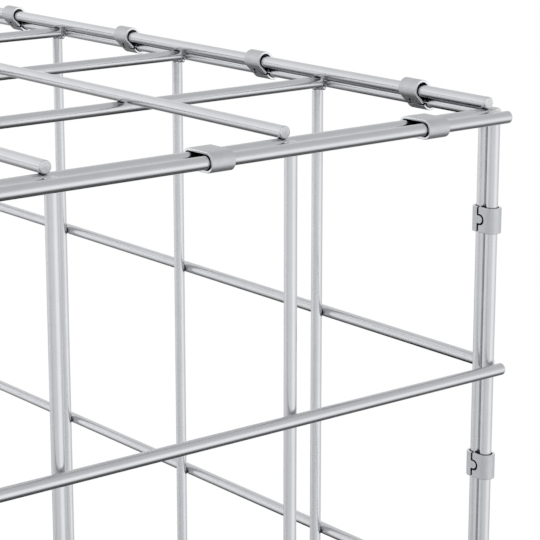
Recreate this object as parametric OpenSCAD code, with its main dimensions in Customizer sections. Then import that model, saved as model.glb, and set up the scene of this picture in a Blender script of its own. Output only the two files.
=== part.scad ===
// Welded wire gabion basket, empty, with its lid shut and its edges closed by strip clips.
// Lengths in millimetres. +X runs along the basket, +Y from its front to its back, +Z up.
// The origin is the centre of the footprint, level with the lowest clips.

/* [Mesh] */
// Distance between neighbouring wires of the mesh
mesh = 100; // [75:1:125]
// Diameter of every wire
wire_d = 4.8; // [4:0.1:6]
// Depth by which welded wires sink into each other
weld_sink = 0.2; // [0.1:0.05:0.4]

/* [Basket] */
// Mesh bays along the front
bays_long = 10; // [4:1:20]
// Mesh bays from front to back
bays_deep = 5; // [3:1:10]
// Mesh bays from base to lid
bays_high = 5; // [3:1:10]
// Air between the wires of two panels that meet at an edge
panel_gap = 0.3; // [0.2:0.05:0.6]

/* [Wire ends] */
// Reach of a front or back row past the outer face of the last upright
row_over = 0.6; // [0:0.1:1]
// Shortfall of a left or right row from the outer face of the last upright
side_row_short = 0.2; // [0:0.1:1]
// Shortfall of a front or back upright from the outer face of the top row
upright_short = 0.4; // [0:0.1:1]
// Shortfall of a lid or base cross wire from the outer face of the last long wire
cross_short = 0.4; // [0:0.1:1]
// Shortfall of a lid or base long wire from the outer face of the last cross wire
long_short = 1.1; // [0.8:0.1:1.6]

/* [Clips] */
// Width of the strip that a clip is bent from
clip_w = 10; // [6:0.5:16]
// Thickness of the strip
clip_t = 1; // [0.6:0.1:1.6]
// Air between a clip and the wires that it holds
clip_gap = 0.3; // [0.2:0.05:0.5]
// Further air on the outer side of the clips of the short edges, which stand proud of their wires
side_clip_slack = 1; // [0:0.1:1.2]
// Width of the seam where the two ends of the strip meet
seam_w = 0.8; // [0.5:0.1:1]
// Radius of the tongue on one end of the strip
tongue_r = 1.9; // [1.4:0.1:2]
// Place of a front or back clip along its bay, counted from the right
front_clip_at = 35.8; // [20:0.1:55]
// Place of a left or right clip along its bay, counted from the front
side_clip_at = 40.5; // [20:0.1:55]
// Height of a corner clip in its bay
corner_clip_at = 59.5; // [20:0.1:60]

/* [Hidden] */
wire_r = wire_d / 2;
wire_sides = 12;
// Distance between the centres of welded wires, and of wires of two panels that meet
weld_step = wire_d - weld_sink;
edge_step = wire_d + panel_gap;

// Half distances between the outermost wires: along the front, and deep inside and outside
half_l = bays_long * mesh / 2;
half_in = bays_deep * mesh / 2;
half_out = half_in + edge_step;

// A clip of a short edge is larger by half its slack, and stands out at 45 degrees by as much
side_clip_out = side_clip_slack / 2;

// Heights of the lowest and highest rows
row_low = weld_step + wire_r + clip_gap + clip_t + side_clip_out * (1 + sqrt(0.5));
row_top = row_low + bays_high * mesh;
mid_z = (row_low + row_top) / 2;

// Weld bead between the end of a side upright and the outermost side row
bead_r = 0.45 * wire_r;
bead_l = 1.2 * wire_r;
bead_out = 1.2 * wire_r;
bead_drop = 1.04 * wire_r;

// Extra depth of a cut, so that it goes right through
past = 1;

CORNERS = ["front_left", "front_right", "back_left", "back_right"];

// A straight wire of the given length along +Z, with a flat side towards each axis
module wire(length) {
    rotate(180 / wire_sides)
        cylinder(h = length, r = wire_r / cos(180 / wire_sides), $fn = wire_sides);
}

// Wires centred on the origin along X or Y, and one between two heights
module wire_x(half) { translate([-half, 0, 0]) rotate([0, 90, 0]) wire(2 * half); }
module wire_y(half) { translate([0, half, 0]) rotate([90, 0, 0]) wire(2 * half); }
module wire_z(low, high) { translate([0, 0, low]) wire(high - low); }

module flip_x(yes) { mirror([yes ? 1 : 0, 0, 0]) children(); }
module flip_y(yes) { mirror([0, yes ? 1 : 0, 0]) children(); }
// Turns what stands at the lid over to the base
module flip_z(yes) {
    if (yes) translate([0, 0, 2 * mid_z]) mirror([0, 0, 1]) children();
    else children();
}

// Front or back: uprights inside, rows welded to their outer side
module long_side() {
    upright_end = wire_r - upright_short;
    color("silver") {
        for (i = [0 : bays_long])
            translate([i * mesh - half_l, -half_out, 0])
                wire_z(row_low - upright_end, row_top + upright_end);
        for (k = [0 : bays_high])
            translate([0, -half_out - weld_step, row_low + k * mesh])
                wire_x(half_l + wire_r + row_over);
    }
}

// Bead that joins the top of a side upright to the outermost side row
module weld_bead() {
    translate([half_l + bead_out, bead_l / 2, row_top - bead_drop])
        rotate([90, 0, 0]) cylinder(h = bead_l, r = bead_r, $fn = wire_sides);
}

// Left or right: the uprights stop under the long wires of the lid, the rows are outside
module short_side() {
    upright_cut = wire_r + panel_gap;
    color("silver") {
        for (j = [0 : bays_deep])
            translate([0, j * mesh - half_in, 0]) {
                translate([half_l, 0, 0]) wire_z(row_low + upright_cut, row_top - upright_cut);
                weld_bead();
                flip_z(true) weld_bead();
            }
        for (k = [0 : bays_high])
            translate([half_l + weld_step, 0, row_low + k * mesh])
                wire_y(half_in + wire_r - side_row_short);
    }
}

// Lid or base: long wires level with the outermost rows, cross wires welded outside them
module cover() {
    color("silver") {
        for (j = [0 : bays_deep])
            translate([0, j * mesh - half_in, row_top])
                wire_x(half_l + wire_r - long_short);
        for (i = [0 : bays_long])
            translate([i * mesh - half_l, 0, row_top + weld_step])
                wire_y(half_in + wire_r - cross_short);
    }
}

// Outline round two wires: one at the origin, the other a span away along X
module loop(span, r) {
    circle(r = r, $fn = 64);
    translate([span, 0]) circle(r = r, $fn = 64);
    translate([0, -r]) square([span, 2 * r]);
}

// Gap between the two ends of the strip, with a round tongue that enters a round notch
module seam() {
    difference() {
        union() {
            translate([-seam_w, -clip_w]) square([seam_w, 2 * clip_w]);
            intersection() {
                circle(r = tongue_r + seam_w, $fn = 48);
                translate([-clip_w, -clip_w / 2]) square([clip_w, clip_w]);
            }
        }
        circle(r = tongue_r, $fn = 48);
    }
}

// Strip clip closed round two wires that run along Z, its seam on the -Y side
module clip(span, gap = clip_gap) {
    inside_r = wire_r + gap;
    outside_r = inside_r + clip_t;
    color("lightgray")
        difference() {
            linear_extrude(height = clip_w, center = true)
                difference() {
                    loop(span, outside_r);
                    loop(span, inside_r);
                }
            translate([(span + tongue_r + seam_w) / 2, -inside_r + past, 0])
                rotate([90, 0, 0])
                    linear_extrude(height = clip_t + 2 * past) seam();
        }
}

// Clips along a long edge: each holds the outermost row and the outermost long wire
module long_edge_clips() {
    for (i = [0 : bays_long - 1])
        translate([half_l - front_clip_at - i * mesh, -half_out - weld_step, row_top])
            rotate([90, 0, 90]) clip(weld_step + edge_step);
}

// Clips along a short edge: each holds the outermost cross wire and the outermost side row
module short_edge_clips() {
    for (j = [0 : bays_deep - 1])
        translate([half_l, side_clip_at + j * mesh - half_in, row_top + weld_step])
            rotate([90, 45, 0]) translate([0, side_clip_out, 0])
                clip(weld_step * sqrt(2), clip_gap + side_clip_out);
}

// Clip number k from below, at a corner: it holds the end uprights of two panels
module corner_clip(corner, k) {
    flip_x(corner == "front_left" || corner == "back_left")
        flip_y(corner == "back_left" || corner == "back_right")
            translate([half_l, -half_out, row_low + (k - 1) * mesh + corner_clip_at])
                rotate([180, 0, 90]) clip(edge_step);
}

module front_panel() { long_side(); }
module back_panel() { flip_y(true) long_side(); }
module left_end_panel() { flip_x(true) short_side(); }
module right_end_panel() { short_side(); }
module lid_panel() { cover(); }
module base_panel() { flip_z(true) cover(); }

module lid_front_clips() { long_edge_clips(); }
module lid_back_clips() { flip_y(true) long_edge_clips(); }
module lid_left_clips() { flip_x(true) short_edge_clips(); }
module lid_right_clips() { short_edge_clips(); }
module base_front_clips() { flip_z(true) lid_front_clips(); }
module base_back_clips() { flip_z(true) lid_back_clips(); }
module base_left_clips() { flip_z(true) lid_left_clips(); }
module base_right_clips() { flip_z(true) lid_right_clips(); }

front_panel();
back_panel();
left_end_panel();
right_end_panel();
lid_panel();
base_panel();
lid_front_clips();
lid_back_clips();
lid_left_clips();
lid_right_clips();
base_front_clips();
base_back_clips();
base_left_clips();
base_right_clips();
for (corner = CORNERS, k = [1 : bays_high])
    corner_clip(corner, k);
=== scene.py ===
import math

import bpy
import numpy as np
from mathutils import Euler, Matrix, Vector


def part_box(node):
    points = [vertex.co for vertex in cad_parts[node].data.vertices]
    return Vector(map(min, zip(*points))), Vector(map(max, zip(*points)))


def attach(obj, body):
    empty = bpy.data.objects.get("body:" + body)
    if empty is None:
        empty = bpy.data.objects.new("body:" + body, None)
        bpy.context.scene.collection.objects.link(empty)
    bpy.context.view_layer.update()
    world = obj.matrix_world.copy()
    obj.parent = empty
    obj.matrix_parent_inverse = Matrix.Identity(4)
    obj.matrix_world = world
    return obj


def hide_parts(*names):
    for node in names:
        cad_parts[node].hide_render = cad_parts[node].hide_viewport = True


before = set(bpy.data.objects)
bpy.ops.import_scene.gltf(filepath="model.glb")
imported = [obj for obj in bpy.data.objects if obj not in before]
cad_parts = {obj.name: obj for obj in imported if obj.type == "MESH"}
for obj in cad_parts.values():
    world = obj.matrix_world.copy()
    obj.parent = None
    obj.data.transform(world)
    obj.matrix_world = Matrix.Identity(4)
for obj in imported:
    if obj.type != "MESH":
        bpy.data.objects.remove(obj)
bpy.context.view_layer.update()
scene = bpy.context.scene
print("frame loaded:", len(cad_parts), "nodes")

mm = 0.001


def linearColour(hexValue):
    channels = [int(hexValue[i : i + 2], 16) / 255 for i in (1, 3, 5)]
    linear = [c / 12.92 if c <= 0.04045 else ((c + 0.055) / 1.055) ** 2.4 for c in channels]
    return (*linear, 1.0)


def addNode(tree, kind, settings=None, inputs=None):
    # inputs: socket name or number to a value, or to another node's output socket
    node = tree.nodes.new(kind)
    for name, value in (settings or {}).items():
        setattr(node, name, value)
    for name, value in (inputs or {}).items():
        if isinstance(value, bpy.types.NodeSocket):
            tree.links.new(value, node.inputs[name])
        else:
            node.inputs[name].default_value = value
    return node


def newMaterial(name):
    material = bpy.data.materials.new(name)
    material.use_nodes = True
    material.node_tree.nodes.clear()
    return material, material.node_tree


def makeCoatedSteel(name, look):
    material, tree = newMaterial(name)
    grain = addNode(tree, "ShaderNodeUVMap", {"uv_map": "grain"})
    stretch = addNode(
        tree,
        "ShaderNodeVectorMath",
        {"operation": "MULTIPLY"},
        {0: grain.outputs[0], 1: (1 / look["lineLength"], 1 / look["lineWidth"], 1)},
    )
    lines = addNode(
        tree,
        "ShaderNodeTexNoise",
        {"noise_dimensions": "2D"},
        {"Vector": stretch.outputs[0], "Scale": 1.0, "Detail": 3.0, "Roughness": 0.6},
    )
    place = addNode(tree, "ShaderNodeTexCoord")
    clouds = addNode(
        tree,
        "ShaderNodeTexNoise",
        {},
        {
            "Vector": place.outputs["Object"],
            "Scale": 1 / look["cloud"],
            "Detail": 4.0,
            "Roughness": 0.55,
        },
    )
    spread = addNode(
        tree,
        "ShaderNodeMapRange",
        {},
        {"Value": clouds.outputs["Fac"], "From Min": 0.3, "From Max": 0.7},
    )
    tone = addNode(
        tree,
        "ShaderNodeMix",
        {"data_type": "RGBA"},
        {
            "Factor": spread.outputs[0],
            "A": linearColour(look["colour"]),
            "B": linearColour(look["colourDull"]),
        },
    )
    # painted shade, nearly black: darkening in the wires' joints, under the clips and in their seams,
    # where shade falls; makePiece stores how much on each point
    dust = addNode(tree, "ShaderNodeAttribute", {"attribute_name": "dust"})
    paintedShadeMix = addNode(
        tree,
        "ShaderNodeMix",
        {"data_type": "RGBA"},
        {
            "Factor": dust.outputs["Fac"],
            "A": tone.outputs["Result"],
            "B": linearColour(look["dust"]),
        },
    )
    low, high = look["roughness"]
    satin = addNode(
        tree,
        "ShaderNodeMapRange",
        {},
        {
            "Value": lines.outputs["Fac"],
            "From Min": 0.3,
            "From Max": 0.7,
            "To Min": low,
            "To Max": high,
        },
    )
    bump = addNode(
        tree,
        "ShaderNodeBump",
        {},
        {"Height": lines.outputs["Fac"], "Strength": 1.0, "Distance": look["lineDepth"]},
    )
    shader = addNode(
        tree,
        "ShaderNodeBsdfPrincipled",
        {},
        {
            "Base Color": paintedShadeMix.outputs["Result"],
            "Metallic": 1.0,
            "Roughness": satin.outputs[0],
            "Normal": bump.outputs[0],
        },
    )
    addNode(tree, "ShaderNodeOutputMaterial", {}, {"Surface": shader.outputs[0]})
    return material


# Drawn steel wire, hot dipped in zinc and aluminium: a pale grey metal, satin along the draw lines,
# with clear bands of light along it
drawnWire = {
    "colour": "#c8c9cc",
    "colourDull": "#c4c5c8",
    "roughness": (0.20, 0.22),
    "lineWidth": 0.35 * mm,  # draw lines, coarser than the real 0.05 mm so that they show
    "lineLength": 60 * mm,
    "lineDepth": 0.00025 * mm,
    "cloud": 9 * mm,  # the coating's faint clouds
    # colour of the painted shade in the joints and under the clips
    "dust": "#0e0e0f",
}

# The same wire where it was sheared to length: a torn, duller face with marks of the blade
shearedWire = {
    "colour": "#e2e3e5",
    "colourDull": "#c4c5c8",
    "roughness": (0.42, 0.56),
    "lineWidth": 0.5 * mm,
    "lineLength": 1.6 * mm,
    "lineDepth": 0.006 * mm,
    "cloud": 0.9 * mm,
    # colour of the painted shade, as on the rest of the wire
    "dust": "#0e0e0f",
}

# Cold rolled strip with the same coating: an even grey with a soft broad sheen
rolledStrip = {
    "colour": "#c5c6c9",
    "colourDull": "#bfc0c3",
    "roughness": (0.45, 0.51),
    "lineWidth": 0.4 * mm,  # rolling lines, coarser than the real 0.1 mm so that they show
    "lineLength": 12 * mm,
    "lineDepth": 0.002 * mm,
    "cloud": 3 * mm,
    # colour of the painted shade inside the clips and in their seams
    "dust": "#060606",
}

# The strip's cut edges: bare bright steel from the shear, worn smooth
shearedStrip = {
    "colour": "#e2e3e6",
    "colourDull": "#d6d7da",
    "roughness": (0.26, 0.34),
    "lineWidth": 0.5 * mm,
    "lineLength": 0.5 * mm,
    "lineDepth": 0.003 * mm,
    "cloud": 1.2 * mm,
    # colour of the painted shade, as on the rest of the strip
    "dust": "#060606",
}

wireMetals = [
    makeCoatedSteel("Galvanised drawn steel wire", drawnWire),
    makeCoatedSteel("Sheared end of galvanised wire", shearedWire),
]
stripMetals = [
    makeCoatedSteel("Galvanised rolled steel strip", rolledStrip),
    makeCoatedSteel("Sheared edge of steel strip", shearedStrip),
]
print("materials made")

# A part is a dictionary: points in millimetres, faces, grain coordinates in metres for each corner of
# each face, painted shade for each point, and whether each face is sheared


def joined(parts):
    whole = {"points": [], "faces": [], "grain": [], "dust": [], "sheared": []}
    base = 0
    for part in parts:
        whole["points"].append(part["points"])
        whole["faces"] += [tuple(v + base for v in face) for face in part["faces"]]
        whole["grain"] += part["grain"]
        whole["dust"].append(part["dust"])
        whole["sheared"] += part["sheared"]
        base += len(part["points"])
    whole["points"] = np.vstack(whole["points"])
    whole["dust"] = np.concatenate(whole["dust"])
    return whole


def turned(part, axes, centre):
    # the part's own x, y and z sent along the three axes given, from the centre given
    points = part["points"] @ np.array(axes, float) + np.array(centre, float)
    return {**part, "points": points}


def mirrored(part, axis, about=0.0):
    points = part["points"].copy()
    points[:, axis] = 2 * about - points[:, axis]
    faces = [face[::-1] for face in part["faces"]]
    grain = [corners[::-1] for corners in part["grain"]]
    return {**part, "points": points, "faces": faces, "grain": grain}


def makePiece(name, part, metals, nodes):
    mesh = bpy.data.meshes.new(name)
    mesh.from_pydata((part["points"] * mm).tolist(), [], part["faces"])
    uvLayer = mesh.uv_layers.new(name="grain")
    corners = np.array([uv for face in part["grain"] for uv in face], np.float32)
    uvLayer.uv.foreach_set("vector", corners.ravel())
    dust = mesh.attributes.new("dust", "FLOAT", "POINT")
    dust.data.foreach_set("value", part["dust"].astype(np.float32))
    for metal in metals:
        mesh.materials.append(metal)
    mesh.polygons.foreach_set("material_index", np.array(part["sheared"], np.int32))
    mesh.shade_smooth()
    mesh.validate()
    piece = bpy.data.objects.new(name, mesh)
    scene.collection.objects.link(piece)
    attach(piece, "root")
    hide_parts(*nodes)


def tubeFaces(rings, sides):
    # quads between each ring of points and the next
    faces = []
    for i in range(rings - 1):
        here, there = i * sides, (i + 1) * sides
        for j in range(sides):
            k = (j + 1) % sides
            faces.append((here + j, here + k, there + k, there + j))
    return faces


# Wires of the mesh. Lengths are in millimetres from here on, until makePiece
wire = {
    "radius": 2.4,
    "sides": 32,
    "endRound": 0.4,  # rounding of a sheared end
    "endSteps": 4,
    "endDisc": 0.93,  # an end's flat disc, as a share of the last ring of its rounding
    "weldStep": 4.6,  # distance between the centres of welded wires
    "weldBlend": 0.4,  # how far the weld's neck softens the crossing
    "weldRings": (0, 0.35, 0.7, 1.05, 1.4, 1.8, 2.3),
    "paintedShadeFull": 0.10,  # gap between two welded wires up to which painted shade fills the joint
    "paintedShadeNone": 0.35,  # gap from which the joint has no painted shade
    "grainShift": 0.37,  # metres from one wire's grain to the next one's, so that no two look alike
    "bladeTurn": 0.7,  # sends the blade's marks across an end at 45 degrees
}

# Strip clips, bent square round two wires
clip = {
    "width": 10.0,
    "thickness": 1.0,
    "inside": 2.68,  # from a wire's centre to the strip's inner face
    "bend": 2.85,  # radius of the four bends, at the middle of the strip
    # the same two on the short edges, where clips lean at 45 degrees, and how far they stand out
    "leaningInside": 2.95,
    "leaningBend": 3.25,
    "leaningOut": 0.35,
    "seam": 0.8,
    "tongue": 1.6,  # radius of the tongue's round tip, and how far out its centre is
    "tongueOut": 1.3,
    "notch": 2.1,  # the same for the notch that it enters
    "notchOut": 1.6,
    "shoulder": 0.2,  # rounding where the tongue and the notch start
    "edge": 0.16,  # rounding of the strip's edges
    "edgeBand": 0.1,  # flat band inside that rounding
    "corner": 0.35,  # rounding of the strip's four corners
    "endPoint": 1.6,  # how far in from the strip's sides the straight part of an end has a point
    "cornerSteps": 3,
    "tipSteps": 14,
    "bendSteps": 7,
    "grainShift": 0.037,  # metres from one clip's grain to the next one's
    "paintedShadeFrom": 0.3,  # how far inside a clip the painted shade on its wires starts, and where it is full
    "paintedShadeFull": 1.6,
    "frontAt": 35.8,  # place of a clip in its bay: from the right, from the front, from below
    "sideAt": 40.5,
    "cornerAt": 59.5,
}


def smoothStep(value, low, high):
    t = np.clip((value - low) / (high - low), 0, 1)
    return t * t * (3 - 2 * t)


def wireSkin(along, angle, crossings):
    # radius of the skin and painted shade on it: both rise where the wire meets the one that it is
    # welded to
    r, step, blend = wire["radius"], wire["weldStep"], wire["weldBlend"]
    shape = np.broadcast(along, angle).shape
    if not len(crossings):
        return np.full(shape, r), np.zeros(shape)
    off = np.abs(along[..., None] - crossings).min(-1)
    rise = np.sin(angle)
    leastRise = 0.05  # skin that faces the other wire less than this has no middle plane to stop at
    halvings = 24

    def outside(rho):
        # below zero inside either wire or the neck between them
        mine = rho - r
        other = np.hypot(off, step - rho * rise) - r
        h = np.maximum(blend - np.abs(mine - other), 0) / blend
        return np.minimum(mine, other) - h * h * blend / 4

    low = np.full(shape, r)
    high = np.where(rise > leastRise, step / 2 / np.maximum(rise, leastRise), r + blend)
    high = np.clip(high, r, r + blend)
    for _ in range(halvings):
        middle = (low + high) / 2
        within = outside(middle) < 0
        low = np.where(within, middle, low)
        high = np.where(within, high, middle)
    gap = np.hypot(off, step - high * rise) - r
    return high, 1 - smoothStep(gap, wire["paintedShadeFull"], wire["paintedShadeNone"])


def wireMesh(reach, crossings, seed, clips=()):
    # one wire along +X, from the first to the second end of its reach, welded on its +Z side
    # seed is the wire's grain number, which shifts its grain
    start, end = reach
    r, rounding, sides = wire["radius"], wire["endRound"], wire["sides"]
    cover = clip["width"] / 2
    stations = [start + rounding, end - rounding]
    for c in crossings:
        for d in wire["weldRings"]:
            stations += [c - d, c + d]
    fullyShaded, unshaded = cover - clip["paintedShadeFull"], cover - clip["paintedShadeFrom"]
    for c in clips:
        stations += [c - unshaded, c - fullyShaded, c + fullyShaded, c + unshaded]
    stations = np.unique(np.round(stations, 4))
    stations = stations[(stations >= start + rounding) & (stations <= end - rounding)]
    turn = np.linspace(0, math.pi / 2, wire["endSteps"] + 1)[1:]
    capAlong = rounding * np.sin(turn)
    capShrink = 1 - rounding * (1 - np.cos(turn)) / r
    along = np.concatenate([start + rounding - capAlong[::-1], stations, end - rounding + capAlong])
    shrink = np.concatenate([capShrink[::-1], np.ones(len(stations)), capShrink])
    angle = np.arange(sides) * 2 * math.pi / sides
    rho, dust = wireSkin(along[:, None], angle[None, :], np.asarray(crossings, float))
    rho = rho * shrink[:, None]
    # painted shade on each wire inside a clip, where the strip shades it
    for c in clips:
        hidden = 1 - smoothStep(np.abs(along - c), fullyShaded, unshaded)
        dust = np.maximum(dust, hidden[:, None])
    x = np.broadcast_to(along[:, None], rho.shape)
    points = np.stack([x, rho * np.cos(angle), rho * np.sin(angle)], -1).reshape(-1, 3)
    rings = len(along)
    around = r * 2 * math.pi / sides * mm
    shift = wire["grainShift"] * seed
    faces, grain = tubeFaces(rings, sides), []
    for i in range(rings - 1):
        u, v = along[i] * mm + shift, along[i + 1] * mm + shift
        for j in range(sides):
            a, b = j * around, (j + 1) * around
            grain.append([(u, a), (u, b), (v, b), (v, a)])
    sheared = [0] * len(faces)
    # each end: a flat ring just inside the rounding, then one disc
    disc, tilt = wire["endDisc"], wire["bladeTurn"]
    for ring, flip in ((0, True), (rings - 1, False)):
        inner = len(points)
        rim = points[ring * sides : (ring + 1) * sides]
        points = np.vstack([points, rim * (1, disc, disc)])
        dust = np.vstack([dust, np.zeros((1, sides))])
        ends = [tuple(range(inner, inner + sides))]
        for j in range(sides):
            k = (j + 1) % sides
            ends.append((ring * sides + j, ring * sides + k, inner + k, inner + j))
        for face in ends:
            face = face[::-1] if flip else face
            faces.append(face)
            yz = [points[v][1:] * mm for v in face]
            grain.append([((y + z) * tilt + shift, (y - z) * tilt) for y, z in yz])
            sheared.append(1)
    return {
        "points": points,
        "faces": faces,
        "grain": grain,
        "dust": dust.ravel(),
        "sheared": sheared,
    }


# Weld bead between an end of a side upright and the outermost side row
bead = {
    "radius": 1.08,
    "length": 2.88,
    "out": 2.88,  # from the upright's centre
    "drop": 2.5,  # from the row's centre
    "sides": 16,
    "rings": 9,
    "bluntAlong": 0.8,  # powers under 1 make it blunter than an egg
    "bluntAcross": 0.6,
}


def weldBead(centre):
    # small blunt blob along +Y
    sides = bead["sides"]
    turns = np.linspace(-math.pi / 2, math.pi / 2, bead["rings"] + 2)[1:-1]
    half = bead["length"] / 2
    along = half * np.sign(turns) * np.abs(np.sin(turns)) ** bead["bluntAlong"]
    rho = bead["radius"] * np.cos(turns) ** bead["bluntAcross"]
    points = []
    for a, p in zip(along, rho):
        for j in range(sides):
            t = 2 * math.pi * j / sides
            points.append((p * math.sin(t), a, p * math.cos(t)))
    points += [(0, -half, 0), (0, half, 0)]
    last = (len(along) - 1) * sides
    tip = last + sides
    faces = tubeFaces(len(along), sides)
    for j in range(sides):
        k = (j + 1) % sides
        faces.append((tip, k, j))
        faces.append((tip + 1, last + j, last + k))
    points = np.array(points) + centre
    grain = [[(points[v][1] * mm, points[v][2] * mm) for v in face] for face in faces]
    return {
        "points": points,
        "faces": faces,
        "grain": grain,
        "dust": np.zeros(len(points)),
        "sheared": [0] * len(faces),
    }


# Lengths of the basket, in millimetres in the frame's own axes
basket = {
    "bays": (10, 5, 5),  # along the front, from front to back, from base to lid
    "rowOver": 0.6,  # reach of a front row past the last upright
    "sideRowShort": 0.2,  # how far the other wires stop short of the outer face of the last one
    "uprightShort": 0.4,
    "crossShort": 0.4,
    "longShort": 1.1,
    "panelGap": 0.3,  # air between the wires of two panels that meet
}


def millimetres(node):
    low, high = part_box(node)
    return np.array(low) / mm, np.array(high) / mm


frontLow, frontHigh = millimetres("front_panel")
lidHigh = millimetres("lid_panel")[1]
r = wire["radius"]
halfLong = frontHigh[0] - basket["rowOver"] - r  # outermost uprights along the front
halfDeep = lidHigh[1] - r
rowY = frontLow[1] + r
uprightY = frontHigh[1] - r
rowLow = frontLow[2] + r
rowTop = frontHigh[2] - r
baysLong, baysDeep, baysHigh = basket["bays"]
alongX = np.linspace(-halfLong, halfLong, baysLong + 1)
alongY = np.linspace(-halfDeep, halfDeep, baysDeep + 1)
upZ = np.linspace(rowLow, rowTop, baysHigh + 1)
middleZ = (rowLow + rowTop) / 2
clipsX = alongX[1:] - clip["frontAt"]
clipsY = alongY[:-1] + clip["sideAt"]
clipsZ = upZ[:-1] + clip["cornerAt"]
xAxis, yAxis, zAxis = (1, 0, 0), (0, 1, 0), (0, 0, 1)
# grain number of the first wire or clip of each kind
grainFrom = {
    "frontRow": 0,
    "frontUpright": 10,
    "sideRow": 30,
    "sideUpright": 40,
    "longWire": 60,
    "crossWire": 70,
    "longClip": 0,
    "shortClip": 20,
    "cornerClip": 40,
}
print("mesh pitch", alongX[1] - alongX[0], alongY[1] - alongY[0], upZ[1] - upZ[0])


def onOuter(number, last, places):
    # only the first and last wires of a panel are held by clips
    return places if number in (0, last) else ()


def longSide():
    # front panel: rows outside the uprights
    parts = []
    reach = halfLong + r + basket["rowOver"]
    for n, z in enumerate(upZ):
        seed = grainFrom["frontRow"] + n
        row = wireMesh((-reach, reach), alongX, seed, onOuter(n, baysHigh, clipsX))
        parts.append(turned(row, (xAxis, (0, 0, -1), yAxis), (0, rowY, z)))
    over = r - basket["uprightShort"]
    for n, x in enumerate(alongX):
        seed = grainFrom["frontUpright"] + n
        clips = onOuter(n, baysLong, clipsZ)
        upright = wireMesh((rowLow - over, rowTop + over), upZ, seed, clips)
        parts.append(turned(upright, (zAxis, (-1, 0, 0), (0, -1, 0)), (x, uprightY, 0)))
    return joined(parts)


def shortSide():
    # right end panel: uprights stop under the outermost long wires, beads join them to the rows
    parts = []
    rowX = halfLong + wire["weldStep"]
    reach = halfDeep + r - basket["sideRowShort"]
    for n, z in enumerate(upZ):
        seed = grainFrom["sideRow"] + n
        crossings = alongY if 0 < n < baysHigh else ()
        row = wireMesh((-reach, reach), crossings, seed, onOuter(n, baysHigh, clipsY))
        parts.append(turned(row, (yAxis, (0, 0, -1), (-1, 0, 0)), (rowX, 0, z)))
    cut = r + basket["panelGap"]
    beadX = halfLong + bead["out"]
    for n, y in enumerate(alongY):
        seed = grainFrom["sideUpright"] + n
        clips = onOuter(n, baysDeep, clipsZ)
        upright = wireMesh((rowLow + cut, rowTop - cut), upZ[1:-1], seed, clips)
        parts.append(turned(upright, (zAxis, (0, -1, 0), xAxis), (halfLong, y, 0)))
        for z in (rowTop - bead["drop"], rowLow + bead["drop"]):
            parts.append(weldBead((beadX, y, z)))
    return joined(parts)


def cover():
    # lid: long wires level with the outermost rows, cross wires above them
    parts = []
    reach = halfLong + r - basket["longShort"]
    for n, y in enumerate(alongY):
        seed = grainFrom["longWire"] + n
        long = wireMesh((-reach, reach), alongX, seed, onOuter(n, baysDeep, clipsX))
        parts.append(turned(long, (xAxis, yAxis, zAxis), (0, y, rowTop)))
    reach = halfDeep + r - basket["crossShort"]
    for n, x in enumerate(alongX):
        seed = grainFrom["crossWire"] + n
        cross = wireMesh((-reach, reach), alongY, seed, onOuter(n, baysLong, clipsY))
        place = (x, 0, rowTop + wire["weldStep"])
        parts.append(turned(cross, (yAxis, xAxis, (0, 0, -1)), place))
    return joined(parts)


front = longSide()
rightEnd = shortSide()
lid = cover()
makePiece("frontMesh", front, wireMetals, ["front_panel"])
makePiece("backMesh", mirrored(front, 1), wireMetals, ["back_panel"])
makePiece("rightEndMesh", rightEnd, wireMetals, ["right_end_panel"])
makePiece("leftEndMesh", mirrored(rightEnd, 0), wireMetals, ["left_end_panel"])
makePiece("lidMesh", lid, wireMetals, ["lid_panel"])
makePiece("baseMesh", mirrored(lid, 2, middleZ), wireMetals, ["base_panel"])
print("panels made")


def stripEnds(length):
    # edges of the flat strip's two ends as (s, w): the tongue from -w to +w, the notch from +w to -w
    half, c = clip["width"] / 2, clip["corner"]
    inner = half - clip["endPoint"]
    tongue, notch, shoulder = clip["tongue"], clip["notch"], clip["shoulder"]
    tongueAt, notchAt = -clip["tongueOut"], length + clip["seam"] - clip["notchOut"]
    quarter = np.linspace(0, math.pi / 2, clip["cornerSteps"] + 1)
    arc = np.linspace(-math.pi / 2, math.pi / 2, clip["tipSteps"] + 1)
    start = [(c - c * math.sin(t), c - half - c * math.cos(t)) for t in quarter]
    start += [(0, -inner), (0, -tongue - shoulder), (-shoulder, -tongue)]
    start += [(tongueAt - tongue * math.cos(t), tongue * math.sin(t)) for t in arc]
    start += [(-shoulder, tongue), (0, tongue + shoulder), (0, inner)]
    start += [(c - c * math.cos(t), half - c + c * math.sin(t)) for t in quarter]
    end = [(length - c + c * math.sin(t), half - c + c * math.cos(t)) for t in quarter]
    end += [(length, inner), (length, notch + shoulder), (length - shoulder, notch)]
    end += [(notchAt - notch * math.cos(t), -notch * math.sin(t)) for t in arc]
    end += [(length - shoulder, -notch), (length, -notch - shoulder), (length, -inner)]
    end += [(length - c + c * math.cos(t), c - half - c * math.sin(t)) for t in quarter]
    return start, end


def folded(s, lift, legs, place):
    # sends flat coordinates along the strip, and a lift off its middle, to the folded section
    # each leg is a length and the radius of its bend, 0 for a flat one
    heading, at = 0.0, 0.0
    px, py = place
    x, y = np.zeros(len(s)), np.zeros(len(s))
    for number, (length, bend) in enumerate(legs):
        d = s - at
        if bend:
            angle = heading + d / bend
            legX = px - bend * math.sin(heading) + (bend + lift) * np.sin(angle)
            legY = py + bend * math.cos(heading) - (bend + lift) * np.cos(angle)
            px += bend * (math.sin(heading + length / bend) - math.sin(heading))
            py += bend * (math.cos(heading) - math.cos(heading + length / bend))
            heading += length / bend
        else:
            legX = px + d * math.cos(heading) + lift * math.sin(heading)
            legY = py + d * math.sin(heading) - lift * math.cos(heading)
            px += length * math.cos(heading)
            py += length * math.sin(heading)
        here = (d > 0) | (number == 0)
        x, y = np.where(here, legX, x), np.where(here, legY, y)
        at += length
    return x, y


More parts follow.
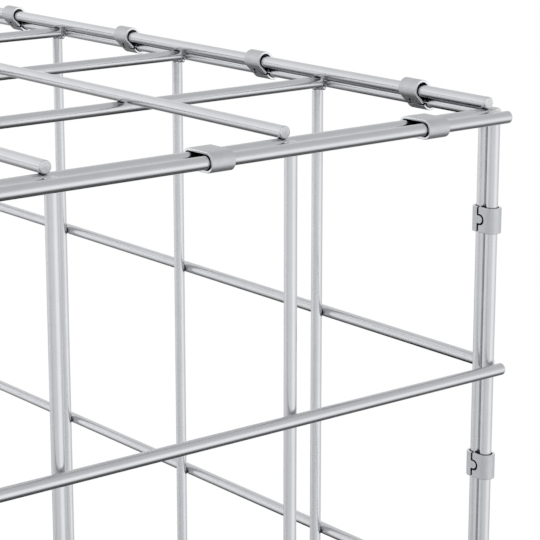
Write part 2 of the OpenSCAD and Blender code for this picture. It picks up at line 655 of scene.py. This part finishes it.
def clipMesh(span, inside, bend):
    # strip folded round two wires along Z, at the origin and at (span, 0), its seam on the -Y side
    half = clip["width"] / 2
    reach = inside + clip["thickness"] / 2
    side = reach - bend
    seamAt = (span + clip["notchOut"] + clip["notch"]) / 2
    turn = bend * math.pi / 2
    legs = [
        (span + side - seamAt, 0), (turn, bend), (2 * side, 0), (turn, bend),
        (span + 2 * side, 0), (turn, bend), (2 * side, 0), (turn, bend),
        (side + seamAt - clip["seam"], 0),
    ]
    ends = np.cumsum([leg[0] for leg in legs])
    folds = [np.linspace(ends[i] - turn, ends[i], clip["bendSteps"] + 1) for i in (1, 3, 5, 7)]
    folds = np.concatenate(folds)
    tongueEnd, notchEnd = stripEnds(ends[-1])
    outline = tongueEnd + [(s, half) for s in folds] + notchEnd + [(s, -half) for s in folds[::-1]]
    outline = np.array(outline, float)
    count, m = len(outline), len(folds)

    # inward offsets round the outline, so that every edge of the strip is rounded
    before = outline - np.roll(outline, 1, 0)
    after = np.roll(outline, -1, 0) - outline
    normals = []
    for d in (before, after):
        d = d / np.linalg.norm(d, axis=1)[:, None]
        normals.append(np.stack([-d[:, 1], d[:, 0]], 1))
    inward = -(normals[0] + normals[1]) / (1 + (normals[0] * normals[1]).sum(1))[:, None]
    e, h = clip["edge"], clip["thickness"] / 2
    slope = e * (1 - math.sqrt(0.5))
    band = e + clip["edgeBand"]
    # the rims of the strip from its outer face to its inner one, as (depth inward, lift)
    rims = [
        (band, h), (e, h), (slope, h - slope), (0, h - e),
        (0, e - h), (slope, slope - h), (e, -h), (band, -h),
    ]
    # painted shade on each rim: on the inner face, and on the walls of the seam too, where shade falls
    rimPaintedShade = np.repeat([[0, 0, 0, 0, 0, 0.5, 1, 1]], count, 0).T.astype(float)
    # both ends have as many points, the first and last few of them round the strip's corners
    skip, last = clip["cornerSteps"], len(tongueEnd) - clip["cornerSteps"]
    walls = [i for at in (0, len(tongueEnd) + m) for i in range(at + skip, at + last)]
    rimPaintedShade[3:5, walls] = 1
    rimPaintedShade[2, walls] = 0.5
    flat = np.vstack([outline + inward * depth for depth, lift in rims])
    lift = np.concatenate([np.full(count, lift) for depth, lift in rims])
    x, y = folded(flat[:, 0], lift, legs, (seamAt, -reach))
    points = np.stack([x, y, flat[:, 1]], 1)

    faces = tubeFaces(len(rims), count)
    # the quads between the middle rims are the strip's sheared edge
    sheared = [int(2 <= ring <= 4) for ring in range(len(rims) - 1) for i in range(count)]
    sideA = len(tongueEnd)
    endAt = sideA + m
    sideB = endAt + len(notchEnd)
    for base, flip in ((0, False), ((len(rims) - 1) * count, True)):
        skins = [list(range(sideA)) + [sideA, sideB + m - 1]]
        skins.append([sideA + m - 1] + list(range(endAt, sideB)) + [sideB])
        for i in range(m - 1):
            skins.append([sideA + i, sideA + i + 1, sideB + m - 2 - i, sideB + m - 1 - i])
        for skin in skins:
            skin = tuple(base + v for v in skin)
            faces.append(skin if flip else skin[::-1])
            sheared.append(0)
    grain = [[(flat[v, 0] * mm, flat[v, 1] * mm) for v in face] for face in faces]
    return {
        "points": points,
        "faces": faces,
        "grain": grain,
        "dust": rimPaintedShade.ravel(),
        "sheared": sheared,
    }


def placed(part, angles, centre, seed):
    matrix = np.array(Euler([math.radians(a) for a in angles], "XYZ").to_matrix())
    shift = clip["grainShift"] * seed
    grain = [[(u + shift, v) for u, v in face] for face in part["grain"]]
    return {**turned(part, matrix.T, centre), "grain": grain}


stepWeld = wire["weldStep"]
stepEdge = 2 * r + basket["panelGap"]
longClip = clipMesh(stepWeld + stepEdge, clip["inside"], clip["bend"])
shortClip = clipMesh(stepWeld * math.sqrt(2), clip["leaningInside"], clip["leaningBend"])
cornerClip = clipMesh(stepEdge, clip["inside"], clip["bend"])

longRow = []
for n, x in enumerate(clipsX):
    seed = grainFrom["longClip"] + n
    longRow.append(placed(longClip, (90, 0, 90), (x, rowY, rowTop), seed))
longRow = joined(longRow)
shortRow = []
out = clip["leaningOut"] * math.sqrt(0.5)
for n, y in enumerate(clipsY):
    seed = grainFrom["shortClip"] + n
    place = (halfLong + out, y, rowTop + stepWeld + out)
    shortRow.append(placed(shortClip, (90, 45, 0), place, seed))
shortRow = joined(shortRow)
for edge, top in (("lid", True), ("base", False)):
    long, short = longRow, shortRow
    if not top:
        long, short = mirrored(longRow, 2, middleZ), mirrored(shortRow, 2, middleZ)
    makePiece(f"{edge}FrontClips", long, stripMetals, [f"{edge}_front_clips"])
    makePiece(f"{edge}BackClips", mirrored(long, 1), stripMetals, [f"{edge}_back_clips"])
    makePiece(f"{edge}RightClips", short, stripMetals, [f"{edge}_right_clips"])
    makePiece(f"{edge}LeftClips", mirrored(short, 0), stripMetals, [f"{edge}_left_clips"])
for k, z in enumerate(clipsZ, 1):
    one = placed(cornerClip, (180, 0, 90), (halfLong, uprightY, z), grainFrom["cornerClip"] + k)
    for depthWord in ("front", "back"):
        for sideWord in ("left", "right"):
            part = one
            if depthWord == "back":
                part = mirrored(part, 1)
            if sideWord == "left":
                part = mirrored(part, 0)
            name = f"{depthWord}{sideWord.capitalize()}Clip{k}"
            makePiece(name, part, stripMetals, [f"{depthWord}_{sideWord}_clip_{k}"])
print("clips made")

# A long lens in front of the basket and a little above it, aimed at its upper right corner
shot = {
    "place": (-0.0589, -0.8190, 0.6474),
    "forward": (0.6045, 0.7583, -0.2442),
    "lens": 139.7,
}

camera = bpy.data.objects.new("camera", bpy.data.cameras.new("camera"))
scene.collection.objects.link(camera)
camera.location = shot["place"]
forward = Vector(shot["forward"])
camera.rotation_euler = forward.to_track_quat("-Z", "Y").to_euler()
camera.data.lens = shot["lens"]
camera.data.sensor_width = 36
camera.data.clip_start = 0.01
camera.data.clip_end = 100
scene.camera = camera
scene.view_settings.view_transform = "Standard"

# Azimuths are in degrees from the camera's side of the basket, positive to its right
studio = {
    "floorSize": 12.0,
    "floorColour": "#e4e4e4",
    "floorDrop": 0.0003,  # metres below the basket
    "floorLift": 0.30,  # share of its white that the floor gives off itself
    "fadeFrom": 0.7,  # metres from the basket's middle where the floor's shade starts to fade to white
    "fadeTo": 1.15,
    "lampSize": 1.6,
    "lampPower": 14,
    "lampPlace": (0.5, -0.9, 2.6),
    "lampAim": (0, 0, 0.2),
    # brightness of the surroundings by the sine of the elevation
    "rise": (
        (-0.80, 0.09), (-0.72, 0.17), (-0.60, 0.46), (-0.45, 0.85),
        (-0.25, 0.97), (0.15, 1.0), (0.60, 0.80), (1.0, 0.74),
    ),
    # soft boxes and one flag: azimuth, elevation, half width in degrees, brightness
    "boxes": (
        (60, -20, 45, 0.43), (-104, 14, 48, 0.32), (4, -14, 24, 0.07), (8, 45, 24, 1.0),
        (-146, 42, 30, 0.16), (-159, -42, 40, -0.30),
    ),
}


def bearing(azimuth, elevation):
    towardsCamera = Vector((-forward.x, -forward.y, 0)).normalized()
    level = Matrix.Rotation(math.radians(azimuth), 3, "Z") @ towardsCamera
    a = math.radians(elevation)
    return level * math.cos(a) + Vector((0, 0, math.sin(a)))


def makeFloor():
    half = studio["floorSize"] / 2
    corners = [(-half, -half, 0), (half, -half, 0), (half, half, 0), (-half, half, 0)]
    mesh = bpy.data.meshes.new("floor")
    mesh.from_pydata(corners, [], [(0, 1, 2, 3)])
    floor = bpy.data.objects.new("floor", mesh)
    floor.location.z = -studio["floorDrop"]
    scene.collection.objects.link(floor)
    material, tree = newMaterial("Pale studio floor")
    place = addNode(tree, "ShaderNodeTexCoord")
    far = addNode(
        tree, "ShaderNodeVectorMath", {"operation": "LENGTH"}, {0: place.outputs["Object"]}
    )
    fade = addNode(
        tree,
        "ShaderNodeMapRange",
        {"interpolation_type": "SMOOTHSTEP"},
        {"Value": far.outputs["Value"], "From Min": studio["fadeFrom"], "From Max": studio["fadeTo"]},
    )
    # rays that see the floor get its lift and its white, and rays that light the basket don't
    rays = addNode(tree, "ShaderNodeLightPath")
    seen = addNode(
        tree,
        "ShaderNodeMath",
        {"operation": "MAXIMUM"},
        {0: rays.outputs["Is Camera Ray"], 1: rays.outputs["Is Glossy Ray"]},
    )
    seen = addNode(
        tree,
        "ShaderNodeMath",
        {"operation": "MAXIMUM"},
        {0: seen.outputs[0], 1: rays.outputs["Is Transmission Ray"]},
    )
    lift = addNode(
        tree,
        "ShaderNodeMath",
        {"operation": "MULTIPLY"},
        {0: seen.outputs[0], 1: studio["floorLift"]},
    )
    matt = addNode(tree, "ShaderNodeBsdfDiffuse", {}, {"Color": linearColour(studio["floorColour"])})
    lifted = addNode(tree, "ShaderNodeEmission", {}, {"Strength": lift.outputs[0]})
    near = addNode(tree, "ShaderNodeAddShader", {}, {0: matt.outputs[0], 1: lifted.outputs[0]})
    white = addNode(tree, "ShaderNodeEmission", {}, {"Strength": 1.0})
    whiteShare = addNode(
        tree, "ShaderNodeMath", {"operation": "MULTIPLY"}, {0: seen.outputs[0], 1: fade.outputs[0]}
    )
    both = addNode(
        tree,
        "ShaderNodeMixShader",
        {},
        {0: whiteShare.outputs[0], 1: near.outputs[0], 2: white.outputs[0]},
    )
    addNode(tree, "ShaderNodeOutputMaterial", {}, {"Surface": both.outputs[0]})
    mesh.materials.append(material)
    # the metal sees and gets the light of the surroundings' own lower half in place of the floor
    floor.visible_glossy = False
    floor.visible_shadow = False


def makeWorld():
    # one picture for the camera and the metal alike: white round the horizon, dim overhead, dark below
    world = bpy.data.worlds.new("studio")
    world.use_nodes = True
    tree = world.node_tree
    tree.nodes.clear()
    place = addNode(tree, "ShaderNodeTexCoord")
    height = addNode(tree, "ShaderNodeSeparateXYZ", {}, {0: place.outputs["Generated"]})
    share = addNode(
        tree,
        "ShaderNodeMapRange",
        {},
        {
            "Value": height.outputs[2],
            "From Min": -1.0,
            "From Max": 1.0,
            "To Min": 0.0,
            "To Max": 1.0,
        },
    )
    rise = addNode(tree, "ShaderNodeValToRGB", {}, {0: share.outputs[0]})
    stops = rise.color_ramp.elements
    while len(stops) < len(studio["rise"]):
        stops.new(0.5)
    for stop, (sine, level) in zip(stops, studio["rise"]):
        stop.position = (sine + 1) / 2
        stop.color = (level, level, level, 1)
    light = rise.outputs[0]
    for azimuth, elevation, halfWidth, level in studio["boxes"]:
        near = addNode(
            tree,
            "ShaderNodeVectorMath",
            {"operation": "DOT_PRODUCT"},
            {0: place.outputs["Generated"], 1: bearing(azimuth, elevation)},
        )
        box = addNode(
            tree,
            "ShaderNodeMapRange",
            {"interpolation_type": "SMOOTHSTEP"},
            {
                "Value": near.outputs["Value"],
                "From Min": math.cos(math.radians(halfWidth)),
                "From Max": 1.0,
                "To Min": 0.0,
                "To Max": level,
            },
        )
        light = addNode(
            tree, "ShaderNodeMath", {"operation": "ADD"}, {0: light, 1: box.outputs[0]}
        ).outputs[0]
    glow = addNode(tree, "ShaderNodeBackground", {}, {"Color": (1, 1, 1, 1), "Strength": light})
    addNode(tree, "ShaderNodeOutputWorld", {}, {"Surface": glow.outputs[0]})
    scene.world = world


def makeLamp():
    # wide overhead lamp for the floor's soft shade
    lamp = bpy.data.objects.new("overhead", bpy.data.lights.new("overhead", "AREA"))
    lamp.data.shape = "DISK"
    lamp.data.size = studio["lampSize"]
    lamp.data.energy = studio["lampPower"]
    lamp.location = studio["lampPlace"]
    aim = Vector(studio["lampAim"]) - Vector(studio["lampPlace"])
    lamp.rotation_euler = aim.to_track_quat("-Z", "Y").to_euler()
    lamp.visible_glossy = False
    scene.collection.objects.link(lamp)


makeFloor()
makeWorld()
makeLamp()
print("studio made")
